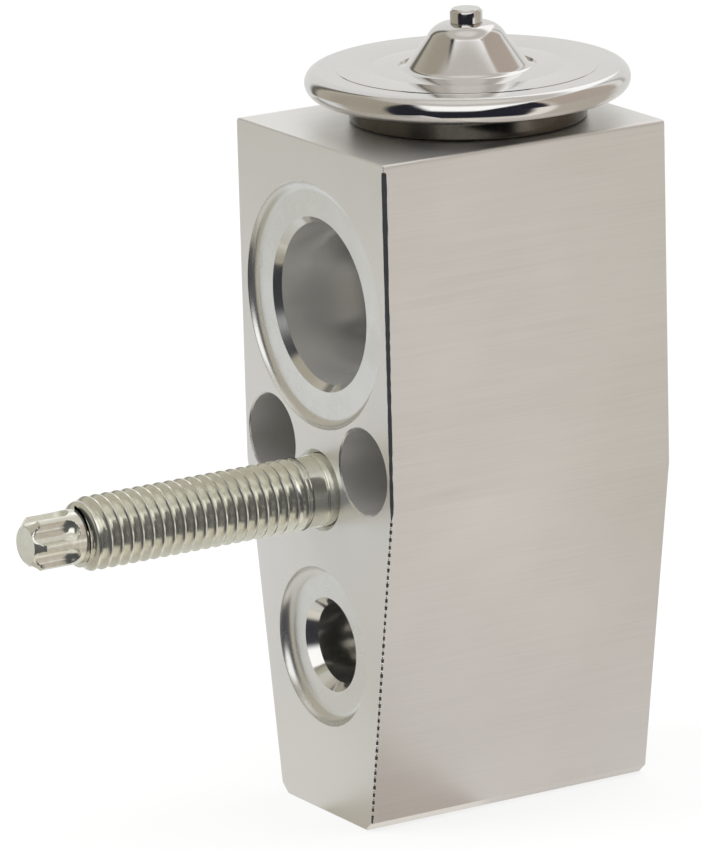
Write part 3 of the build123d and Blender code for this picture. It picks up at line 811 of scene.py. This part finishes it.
@dataclass
class MountingStud:
    """The stud that holds the lines' joint block: thread, shank, collar and a six-lobe driving end."""

    height: float = 35.5
    reach: float = 35.3
    drive_length: float = 5.9
    drive_radius: float = 2.87
    nose: float = 0.95
    flute_radius: float = 1.35
    flute_root: float = 2.0
    flute_length: float = 4.2
    flute_runout: float = 1.0
    flutes: int = 6
    steps_in_flute: int = 22
    steps_on_land: int = 10
    drive_turn: float = -2.5
    drive_overlap: float = 0.4
    lead: Point = (1.3, 0.6)
    thread_overlap: float = 0.1
    shank_length: float = 2.9
    shank_overlap: float = 0.3
    shank_radius: float = 3.725
    # The groove and the collar at the block's face, as (radius, depth)
    collar: tuple[Point, ...] = ((3.625, -1.05), (3.625, -0.9), (3.7, -0.85), (3.86, -0.85), (3.9, -0.8))
    grip: float = 11.5
    end_chamfer: float = 0.8
    crease: float = 32.0

    def drive(self) -> Object:
        """Makes the fluted driving end, from the nose to just inside the thread.

        Returns:
            The driving end, about the Y axis.
        """
        centre = self.flute_root + self.flute_radius
        half_width = acos(
            (centre**2 + self.drive_radius**2 - self.flute_radius**2) / (2 * centre * self.drive_radius)
        )
        sector = tau / self.flutes
        land = sector - 2 * half_width
        in_flute, on_land = self.steps_in_flute, self.steps_on_land
        turns = []
        for k in range(self.flutes):
            middle = sector * k + radians(self.drive_turn)
            turns += [middle - half_width + 2 * half_width * i / in_flute for i in range(in_flute)]
            turns += [middle + half_width + land * i / on_land for i in range(on_land)]
        start = -self.reach
        nose_end = start + self.nose
        flute_end = nose_end + self.flute_length
        straight = self.flute_length - self.flute_runout
        stations = [start + self.nose * i / 8 for i in range(9)]
        stations += [nose_end + straight * i / 6 for i in range(1, 7)]
        stations += [nose_end + straight + self.flute_runout * i / 16 for i in range(1, 17)]
        stations += [flute_end + 0.15, start + self.drive_length + self.drive_overlap]
        shape = bmesh.new()
        rings = []
        for y in stations:
            outer = min(self.drive_radius, self.drive_radius - self.nose + (y - start))
            back = max(0.0, y - (flute_end - self.flute_radius))
            bite = sqrt(max(0.0, self.flute_radius**2 - back**2))
            ring = []
            for turn in turns:
                off = (turn - radians(self.drive_turn) + sector / 2) % sector - sector / 2
                radius = outer
                if abs(centre * sin(off)) < bite:
                    radius = min(outer, centre * cos(off) - sqrt(bite**2 - (centre * sin(off)) ** 2))
                ring.append(shape.verts.new(Run.INTO_BLOCK.spot(radius, y, turn)))
            rings.append(ring)
        bridge(shape, rings)
        return as_piece("drive", shape)

    def shank(self) -> Object:
        """Makes the plain shank, its groove and the part held in the block.

        Returns:
            The shank, about the Y axis.
        """
        front = -self.shank_length - self.shank_overlap
        radius, chamfer = self.collar[-1][0], self.end_chamfer
        outline = [(0, front), (self.shank_radius, front), (self.shank_radius, -1.1), *self.collar]
        outline += [(radius, self.grip - chamfer), (radius - chamfer, self.grip), (0, self.grip)]
        return turned("shank", outline, Run.INTO_BLOCK, (0, 0, 0), 128)

    def build(self, material: Material) -> Object:
        """Joins the stud's lengths into one piece and sets it on its body.

        Args:
            material: The stud's material.

        Returns:
            The stud.
        """
        start = -(self.reach - self.drive_length)
        threaded = -start - self.shank_length + self.thread_overlap
        thread = ThreadForm().wind("mounting_stud_steel", threaded, self.lead, material)
        thread.data.transform(Matrix.Translation((0, start * MM, 0)))
        shape = bmesh.new()
        shape.from_mesh(thread.data)
        for part in (self.drive(), self.shank()):
            shape.from_mesh(part.data)
            bpy.data.objects.remove(part)
        shape.to_mesh(thread.data)
        shape.free()
        thread.data.transform(Matrix.Translation((0, 0, (self.height - BOLT_HEIGHT) * MM)))
        shade(thread, self.crease)
        dress(thread, material)
        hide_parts("mounting_stud")
        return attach(thread, "block")


@dataclass
class DiaphragmHead:
    """The welded head's two stainless covers and its charge plug, as sizes above the block's top face."""

    block_top: float = 33.6
    rim: float = 17.15
    rim_level: float = 4.0
    nose: float = 1.4
    ring: float = 12.55
    plate: float = 5.45
    # The bell's crown and shoulder, and where it meets the groove round its foot
    crown: Point = (1.95, 10.05)
    shoulder: Point = (4.08, 8.75)
    bell_foot: float = 6.7
    foot_blend: float = 0.55
    groove_depth: float = 0.12
    # A faint circle pressed into the plate, as (radius, depth)
    pressed_circle: tuple[Point, ...] = ((10.05, 0.0), (10.1, 0.009), (10.2, 0.009), (10.25, 0.0))
    weld_gap: float = 0.1
    seat_round: float = 0.4
    # Height above the block's top below which the lower cover is darkened as painted shade from the rim
    painted_shade_level: float = 2.3
    crease: float = 30.0

    def place(self) -> Place:
        """Gives the middle of the head's seat on the block."""
        return (0.0, AXIS_DEPTH, self.block_top)

    def upper_cover(self) -> Object:
        """Makes the cover with the bell.

        Returns:
            The upper cover.
        """
        groove = self.plate - self.groove_depth
        slope = (self.bell_foot - self.shoulder[0], groove - self.shoulder[1])
        back = self.foot_blend / hypot(*slope)
        side = (self.bell_foot - back * slope[0], groove - back * slope[1])
        root = self.rim - self.nose
        weld = root + self.nose / 2
        outline = [(0.93, self.crown[1])]
        outline += tangent_arc(self.crown, (1, 0), self.shoulder, 14)
        outline += tangent_arc(side, slope, (7.25, groove), 10)
        outline += [(7.29, groove), (7.31, self.plate)]
        outline += [(radius, self.plate - depth) for radius, depth in self.pressed_circle]
        outline += [(13.84, self.plate), (13.845, self.plate - 0.05)]
        outline += arc((root, self.rim_level), self.nose, 90, 0, 24)
        outline += [(weld, self.rim_level), (weld, self.rim_level + self.weld_gap)]
        # The inner wall, from the rim up to the charge hole
        outline += [(13.4, self.rim_level + self.weld_gap), (12.6, 4.65), (6.1, 4.65), (6.1, 4.8), (3.44, 8.3)]
        outline += [(1.55, 9.25), (0.93, 9.25)]
        return turned("head_upper_cover_steel", outline, Run.UP, self.place(), 256)

    def lower_cover(self) -> Object:
        """Makes the cover with the seat ring and the neck.

        Returns:
            The lower cover.
        """
        root = self.rim - self.nose
        outline = arc((root, self.rim_level), self.nose, 0, -90, 24)
        outline += tangent_arc((self.ring, 1.7), (0, 1), (self.ring + 1.0, 2.5), 8)[::-1]
        outline += arc((self.ring - self.seat_round, self.seat_round), self.seat_round, 0, -90, 6)
        # The neck down into the block, then the inner wall up to the rim
        outline += [(9.5, 0.0), (9.5, -6.0), (7.6, -6.0), (7.6, 0.9), (11.2, 0.9), (11.2, 3.25)]
        weld = root + self.nose / 2
        outline += [(13.37, 3.87), (13.4, 3.9), (weld, self.rim_level - self.weld_gap), (weld, self.rim_level)]
        return turned("head_lower_cover_steel", outline, Run.UP, self.place(), 256)

    def plug(self) -> Object:
        """Makes the charge plug.

        Returns:
            The plug.
        """
        outline = [(0, 9.25), (0.9, 9.25), (0.9, 10.05), (1.66, 10.05), (1.72, 10.11), (1.72, 11.2)]
        outline += [(1.7, 11.26), (1.5, 11.5), (1.42, 11.55), (0, 11.55)]
        return turned("charge_plug_steel", outline, Run.UP, self.place(), 64)

    def build(self, material: Material, painted_shade: Material) -> list[Object]:
        """Makes the head's visible pieces and sets them on their body.

        Args:
            material: The head's material.
            painted_shade: Material of the seat ring below the rim, darkened as painted shade.

        Returns:
            The upper cover, the lower cover and the charge plug.
        """
        made = []
        for piece, node in (
            (self.upper_cover(), "head_upper_cover"),
            (self.lower_cover(), "head_lower_cover"),
            (self.plug(), "charge_plug"),
        ):
            shade(piece, self.crease)
            dress(piece, material)
            if node == "head_lower_cover":
                # The seat ring below the rim takes the darkened stainless: painted shade under the rim
                piece.data.materials.append(painted_shade)
                limit = (self.block_top + self.painted_shade_level) * MM
                for face in piece.data.polygons:
                    face.material_index = int(face.center.z < limit)
            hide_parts(node)
            made.append(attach(piece, "block"))
        return made


@dataclass
class SuperheatSpring:
    """The coil spring between the adjusting screw and the ball carrier, wound as a Geometry Nodes tree.

    It is made as two halves that meet midway.
    """

    foot: float = 8.45
    top: float = 16.0
    turns: float = 4.5
    mean_radius: float = 3.25
    wire: float = 1.0
    seat_gap: float = 0.02
    steps_per_turn: int = 48
    wire_facets: int = 16
    crease: float = 40.0

    def spot(self, height: float) -> Place:
        """Gives the point on the valve's axis at a height above the base, in metres."""
        return (0.0, AXIS_DEPTH * MM, (height - BOLT_HEIGHT) * MM)

    def tree(self, first_turn: float) -> NodeTree:
        """Builds the tree that winds half of the wire.

        Args:
            first_turn: Where the half begins, in turns from the spring's foot.

        Returns:
            The node group.
        """
        made = bpy.data.node_groups.new("wound_wire", "GeometryNodeTree")
        made.interface.new_socket("Geometry", in_out="OUTPUT", socket_type="NodeSocketGeometry")
        rise = (self.top - self.foot) / self.turns
        line = add_node(
            made,
            "GeometryNodeCurveSpiral",
            {
                "Resolution": self.steps_per_turn,
                "Rotations": self.turns / 2,
                "Start Radius": self.mean_radius * MM,
                "End Radius": self.mean_radius * MM,
                "Height": rise * self.turns / 2 * MM,
                "Reverse": True,
            },
        )
        section = add_node(
            made, "GeometryNodeCurvePrimitiveCircle", {"Resolution": self.wire_facets, "Radius": self.wire / 2 * MM}
        )
        wound = add_node(
            made,
            "GeometryNodeCurveToMesh",
            {"Curve": line.outputs[0], "Profile Curve": section.outputs[0], "Fill Caps": True},
        )
        placed = add_node(
            made,
            "GeometryNodeTransform",
            {
                "Geometry": wound.outputs[0],
                "Translation": self.spot(self.foot + rise * first_turn),
                "Rotation": (0.0, 0.0, tau * first_turn),
            },
        )
        add_node(made, "NodeGroupOutput", {0: placed.outputs[0]})
        return made

    def half(self, name: str, first_turn: float, ground: float) -> Object:
        """Makes half of the spring and grinds its outer end flat.

        Args:
            name: Name of the piece.
            first_turn: Where it begins, in turns from the spring's foot.
            ground: Height of the ground end above the block's base.

        Returns:
            The half, closed.
        """
        wire = grown(name, self.tree(first_turn))
        shape = bmesh.new()
        shape.from_mesh(wire.data)
        bpy.data.objects.remove(wire)
        outwards = (0, 0, 1 if first_turn else -1)
        everything = [*shape.verts, *shape.edges, *shape.faces]
        bmesh.ops.bisect_plane(
            shape, geom=everything, plane_co=self.spot(ground), plane_no=outwards, clear_outer=True
        )
        bmesh.ops.holes_fill(shape, edges=[e for e in shape.edges if e.is_boundary], sides=0)
        return as_piece(name, shape)

    def build(self, material: Material) -> list[Object]:
        """Makes the spring as two halves that meet midway.

        Args:
            material: The spring's material.

        Returns:
            The lower and the upper half.
        """
        lower = self.half("superheat_spring_lower", 0.0, self.foot + self.seat_gap)
        upper = self.half("superheat_spring_upper", self.turns / 2, self.top - self.seat_gap)
        for piece in (lower, upper):
            shade(piece, self.crease)
            dress(piece, material)
            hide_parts("superheat_spring")
        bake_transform(lower)
        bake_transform(upper)
        return [lower, upper]


@dataclass
class InnerPieces:
    """The valve's inner pieces, which keep their own solids and take a finish each."""

    finishes: dict[str, tuple[str, ...]] = field(
        default_factory=lambda: {
            "spring_steel": ("diaphragm", "seal_retainer", "damper_spring"),
            "ground_steel": ("sensing_rod", "push_rod", "valve_ball"),
            "brass": ("diaphragm_stopper", "ball_carrier", "adjusting_screw"),
            "rubber": ("head_gasket", "rod_seal", "screw_seal"),
        }
    )

    def build(self, nodes: dict[str, Object], materials: dict[str, Material]) -> int:
        """Gives each inner node its material.

        Args:
            nodes: The frame's nodes by name.
            materials: Finished materials by the names that the finishes use.

        Returns:
            How many nodes were dressed.
        """
        count = 0
        for finish, names in self.finishes.items():
            for name in names:
                for slot in nodes[name].material_slots:
                    slot.material = materials[finish]
                count += 1
        return count


@dataclass
class Studio:
    """White floor, soft lamps and the camera that took the photograph.

    Metal mirrors the room that stood round the valve, so the floor and the surround have tones for mirrors
    alone, laid out by bearing: degrees from the camera, seen from above and growing to its right.
    """

    # Middle of the block's foot, from which the paper's tones are laid out, in millimetres
    foot: Place = (0.0, 17.4, -BOLT_HEIGHT)
    camera_place: Place = (638.24, -387.61, 203.0)
    right: Place = (0.52871874, 0.84842674, -0.0250712)
    up: Place = (-0.20677373, 0.15739138, 0.9656462)
    back: Place = (0.82322604, -0.50537118, 0.25864813)
    lens: float = 378.92
    wall_tones: Tones = (
        (-180, "E8E8E6"), (-148, "E8E8E6"), (-141, "6F6B62"), (-136, "6F6B62"), (-130, "BDB8AB"),
        (-108, "AEA899"), (-64, "AAA495"), (-58, "26272F"), (55, "26272F"), (59, "D6CEC5"), (66, "BBAFA4"),
        (124, "BEB3A8"), (131, "F0F0EE"), (137, "F0F0EE"), (141, "B0AEA8"), (147, "E8E8E6"), (180, "E8E8E6"),
    )
    floor_tones: Tones = (
        (-180, "E6E6E2"), (-125, "E3E6E8"), (-110, "E3E6E8"), (-97, "B4AFA2"), (-64, "AAA495"),
        (43, "FAF4ED"), (60, "F6F0E9"), (66, "BEB8AE"), (115, "BEB6AB"), (131, "E2E2DE"), (180, "E6E6E2"),
    )
    # Paper tones near the foot, darker than the far ones: a painted shadow of the valve on the floor, as mirrors see
    # it
    near_shadow_tones: Tones = ((-180, "DCDCD8"), (-100, "D8D8D3"), (0, "D4D0CA"), (70, "CDC7C2"), (180, "DCDCD8"))
    # Where mirrors meet paper: behind and beside the valve, a strip on its right, and not past the left edge
    paper_sides: Tones = ((-180, WHITE), (-66, WHITE), (-60, BLACK), (43, BLACK), (49, WHITE), (180, WHITE))
    right_strip: Tones = ((-180, BLACK), (8, BLACK), (20, WHITE), (180, WHITE))
    left_edge: Tones = ((-180, BLACK), (-150, BLACK), (-140, WHITE), (-60, WHITE), (-50, BLACK), (180, BLACK))
    # Millimetres from the foot over which the far tones, the strip and the bare left edge come in
    far_fade: Point = (35.0, 80.0)
    strip_fade: Point = (75.0, 50.0)
    edge_fade: Point = (272.0, 330.0)
    floor_radius: float = 3.0
    floor_glow: float = 0.8
    surround_strength: float = 0.55
    # The window on the camera's side: its sill, and its sides as (ahead, across, up) with where each begins
    window_sill: Point = (0.04, 0.32)
    window_sides: tuple[tuple[Place, float], ...] = (((0.378, 0.874, 0.304), -0.1), ((-0.018, -0.788, 0.615), -0.03))
    window_side_end: float = 0.04
    window_glare: float = 0.25
    # Heights between which the glare fades below the ceiling
    glare_fade: Point = (0.8, 0.72)
    # Tones overhead and underfoot, each with the heights between which it comes in
    ceiling_tones: tuple[tuple[Point, str], ...] = (
        ((0.75, 0.86), "CFCBC5"),
        ((0.92, 0.98), "EAE7E2"),
        ((-0.7, -0.82), "E6E0D6"),
    )

    def bearing(self, tree: NodeTree, direction: NodeSocket) -> NodeSocket:
        """Tells which way a direction points, seen from above.

        Args:
            tree: Node tree that takes the nodes.
            direction: The direction.

        Returns:
            0 to 1 for a full turn from behind the valve, with 0.5 towards the camera and more to its right.
        """
        ahead = Vector((self.back[0], self.back[1], 0.0)).normalized()
        parts = []
        for axis in (Vector((-ahead.y, ahead.x, 0.0)), ahead):
            share = add_node(tree, "ShaderNodeVectorMath", {0: direction, 1: axis}, operation="DOT_PRODUCT")
            parts.append(share.outputs["Value"])
        angle = add_node(tree, "ShaderNodeMath", dict(enumerate(parts)), operation="ARCTAN2")
        turn = add_node(tree, "ShaderNodeMath", {0: angle.outputs[0], 1: 1 / tau, 2: 0.5}, operation="MULTIPLY_ADD")
        return turn.outputs[0]

    def tones(self, tree: NodeTree, turn: NodeSocket, stops: Tones) -> NodeSocket:
        """Lays tones side by side round the room.

        Args:
            tree: Node tree that takes the nodes.
            turn: The bearing, as bearing() gives it.
            stops: Bearing from the camera, in degrees from -180 to 180, and sRGB hex colour of each tone.

        Returns:
            The colour at that bearing.
        """
        ramp = add_node(tree, "ShaderNodeValToRGB", {0: turn})
        elements = ramp.color_ramp.elements
        elements[0].position, elements[0].color = 0.0, linear(stops[0][1])
        elements[1].position, elements[1].color = 1.0, linear(stops[-1][1])
        for angle, code in stops[1:-1]:
            elements.new(angle / 360 + 0.5).color = linear(code)
        return ramp.outputs[0]

    def rise(self, tree: NodeTree, value: NodeSocket, low: float, high: float) -> NodeSocket:
        """Rises smoothly from 0 to 1 while a value goes from low to high.

        Args:
            tree: Node tree that takes the node.
            value: The value.
            low: Where the rise begins.
            high: Where it ends.

        Returns:
            The share, from 0 to 1.
        """
        inputs = {"Value": value, "From Min": low, "From Max": high}
        return add_node(tree, "ShaderNodeMapRange", inputs, interpolation_type="SMOOTHSTEP").outputs[0]

    def product(self, tree: NodeTree, one: NodeSocket, two: NodeSocket) -> NodeSocket:
        """Multiplies two values of a tree."""
        return add_node(tree, "ShaderNodeMath", {0: one, 1: two}, operation="MULTIPLY").outputs[0]

    def mirrored_paper(self, tree: NodeTree) -> NodeSocket:
        """Builds what mirrors see of the floor: toned paper, and the room where the paper ends.

        Args:
            tree: The floor's node tree.

        Returns:
            The shader.
        """
        place = add_node(tree, "ShaderNodeTexCoord").outputs["Object"]
        middle = Vector(self.foot) * MM
        offset = add_node(tree, "ShaderNodeVectorMath", {0: place, 1: middle}, operation="SUBTRACT").outputs[0]
        reach = add_node(tree, "ShaderNodeVectorMath", {0: offset}, operation="LENGTH").outputs["Value"]
        fades = (self.far_fade, self.strip_fade, self.edge_fade)
        far, strip, past_edge = (self.rise(tree, reach, low * MM, high * MM) for low, high in fades)
        turn = self.bearing(tree, offset)
        # Near the foot the mirrored paper is darker: painted shadow of the valve
        shadow_tone, far_tone = (self.tones(tree, turn, stops) for stops in (self.near_shadow_tones, self.floor_tones))
        layers = {"Factor": far, 6: shadow_tone, 7: far_tone}
        tone = add_node(tree, "ShaderNodeMix", layers, data_type="RGBA").outputs[2]
        sides = self.tones(tree, turn, self.paper_sides)
        strip = self.product(tree, strip, self.tones(tree, turn, self.right_strip))
        whole = add_node(tree, "ShaderNodeMath", {0: sides, 1: strip}, operation="MAXIMUM").outputs[0]
        bare = self.product(tree, past_edge, self.tones(tree, turn, self.left_edge))
        share = add_node(tree, "ShaderNodeMath", {0: whole, 1: bare}, operation="SUBTRACT", use_clamp=True).outputs[0]
        paper = add_node(tree, "ShaderNodeEmission", {"Color": tone, "Strength": 1.0}).outputs[0]
        room = add_node(tree, "ShaderNodeBsdfTransparent").outputs[0]
        return add_node(tree, "ShaderNodeMixShader", {0: share, 1: room, 2: paper}).outputs[0]

    def floor(self) -> Object:
        """Makes the floor: white to the eye, with a soft shadow, and in mirrors the tones of the room.

        Returns:
            The floor.
        """
        shape = bmesh.new()
        bmesh.ops.create_circle(shape, cap_ends=True, segments=96, radius=self.floor_radius)
        bmesh.ops.translate(shape, verts=shape.verts, vec=(0, 0, self.foot[2] * MM))
        floor = as_piece("studio_floor", shape)
        made = bpy.data.materials.new("white_paper_sweep")
        made.use_nodes = True
        tree = made.node_tree
        tree.nodes.remove(tree.nodes["Principled BSDF"])
        paper = add_node(tree, "ShaderNodeBsdfDiffuse", {"Color": linear("F2F2F0")}).outputs[0]
        glow = add_node(tree, "ShaderNodeEmission", {"Color": linear(WHITE), "Strength": 1.0}).outputs[0]
        seen = add_node(tree, "ShaderNodeMixShader", {0: self.floor_glow, 1: paper, 2: glow}).outputs[0]
        mirror = add_node(tree, "ShaderNodeLightPath").outputs["Is Glossy Ray"]
        mix = add_node(tree, "ShaderNodeMixShader", {0: mirror, 1: seen, 2: self.mirrored_paper(tree)})
        tree.links.new(mix.outputs[0], tree.nodes["Material Output"].inputs["Surface"])
        floor.data.materials.append(made)
        return floor

    def mirrored_room(self, tree: NodeTree) -> NodeSocket:
        """Builds what mirrors see of the room: warm walls, the dark camera side with its window, the ceiling.

        Args:
            tree: The world's node tree.

        Returns:
            The background shader.
        """
        direction = add_node(tree, "ShaderNodeTexCoord").outputs["Generated"]
        height = add_node(tree, "ShaderNodeSeparateXYZ", {0: direction}).outputs[2]
        ahead = Vector((self.back[0], self.back[1], 0.0)).normalized()
        aside = Vector((-ahead.y, ahead.x, 0.0))
        window = self.rise(tree, height, *self.window_sill)
        for (along, across, up), soft in self.window_sides:
            edge = ahead * along + aside * across + Vector((0.0, 0.0, up))
            inside = add_node(tree, "ShaderNodeVectorMath", {0: direction, 1: edge}, operation="DOT_PRODUCT")
            window = self.product(tree, window, self.rise(tree, inside.outputs["Value"], soft, self.window_side_end))
        glare = self.product(tree, window, self.rise(tree, height, *self.glare_fade))
        tone = self.tones(tree, self.bearing(tree, direction), self.wall_tones)
        layers = [(window, WHITE), *((self.rise(tree, height, *fade), code) for fade, code in self.ceiling_tones)]
        for share, code in layers:
            node = add_node(tree, "ShaderNodeMix", {"Factor": share, 6: tone, 7: linear(code)}, data_type="RGBA")
            tone = node.outputs[2]
        inputs = {0: glare, 1: self.window_glare, 2: 1.0}
        power = add_node(tree, "ShaderNodeMath", inputs, operation="MULTIPLY_ADD").outputs[0]
        return add_node(tree, "ShaderNodeBackground", {"Color": tone, "Strength": power}).outputs[0]

    def world(self) -> None:
        """Sets a surround that is white to the eye, gives soft light, and shows the room in mirrors."""
        world = bpy.data.worlds.new("studio")
        bpy.context.scene.world = world
        world.use_nodes = True
        tree = world.node_tree
        light = tree.nodes["Background"]
        light.inputs["Color"].default_value = linear(WHITE)
        light.inputs["Strength"].default_value = self.surround_strength
        seen = add_node(tree, "ShaderNodeBackground", {"Color": linear(WHITE), "Strength": 1.0}).outputs[0]
        ray = add_node(tree, "ShaderNodeLightPath").outputs
        shown = light.outputs[0]
        for kind, background in (("Is Glossy Ray", self.mirrored_room(tree)), ("Is Camera Ray", seen)):
            shown = add_node(tree, "ShaderNodeMixShader", {0: ray[kind], 1: shown, 2: background}).outputs[0]
        tree.links.new(shown, tree.nodes["World Output"].inputs["Surface"])

    def lamp(self, name: str, place: Place, size: float, power: float) -> None:
        """Hangs one soft lamp that faces the valve.

        Args:
            name: Name of the lamp.
            place: Where it hangs, in metres.
            size: Side of its square, in metres.
            power: Its power, in watts.
        """
        light = bpy.data.lights.new(name, "AREA")
        light.shape = "SQUARE"
        light.size = size
        light.energy = power
        lamp = bpy.data.objects.new(name, light)
        lamp.location = place
        lamp.rotation_mode = "QUATERNION"
        lamp.rotation_quaternion = Vector(place).to_track_quat("Z", "Y")
        lamp.visible_glossy = False
        bpy.context.scene.collection.objects.link(lamp)

    def camera(self) -> None:
        """Sets the camera where the photograph was taken."""
        data = bpy.data.cameras.new("camera")
        data.sensor_fit = "HORIZONTAL"
        data.sensor_width = 36.0
        data.lens = self.lens
        data.clip_start, data.clip_end = 0.05, 20.0
        camera = bpy.data.objects.new("camera", data)
        columns = Matrix((self.right, self.up, self.back)).transposed()
        camera.matrix_world = Matrix.Translation(Vector(self.camera_place) * MM) @ columns.to_4x4()
        bpy.context.scene.collection.objects.link(camera)
        bpy.context.scene.camera = camera

    def build(self) -> None:
        """Sets up the floor, the surround, the lamps and the camera."""
        self.floor()
        self.world()
        self.lamp("key_softbox", (-0.35, -0.75, 0.8), size=0.6, power=7.0)
        self.lamp("top_softbox", (0.1, 0.25, 0.9), size=0.8, power=6.0)
        self.camera()
        bpy.context.scene.view_settings.view_transform = "Standard"


def main() -> None:
    """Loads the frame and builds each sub-assembly in order."""
    logging.basicConfig(level=logging.INFO, format="%(name)s: %(message)s")
    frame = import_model()
    materials = {
        "spring_steel": SPRING_STEEL.material(),
        "ground_steel": GROUND_STEEL.material(),
        "brass": TURNED_BRASS.material(),
        "rubber": Rubber().material(),
    }
    pieces = [
        ValveBlock().build(
            outside=EXTRUDED_ALUMINIUM.material(),
            bored=BORED_ALUMINIUM.material(),
            turned_=TURNED_ALUMINIUM.material(),
            faced=FACED_ALUMINIUM.material(),
        ),
        MountingStud().build(CLEAR_ZINC_STEEL.material()),
        *DiaphragmHead().build(POLISHED_STAINLESS.material(), SHADE_PAINTED_STAINLESS.material()),
        *SuperheatSpring().build(materials["spring_steel"]),
    ]
    for piece in pieces:
        log.info("%s: %d faces", piece.name, len(piece.data.polygons))
    log.info("%d inner pieces dressed", InnerPieces().build(frame["nodes"], materials))
    Studio().build()


if __name__ == "__main__":
    main()
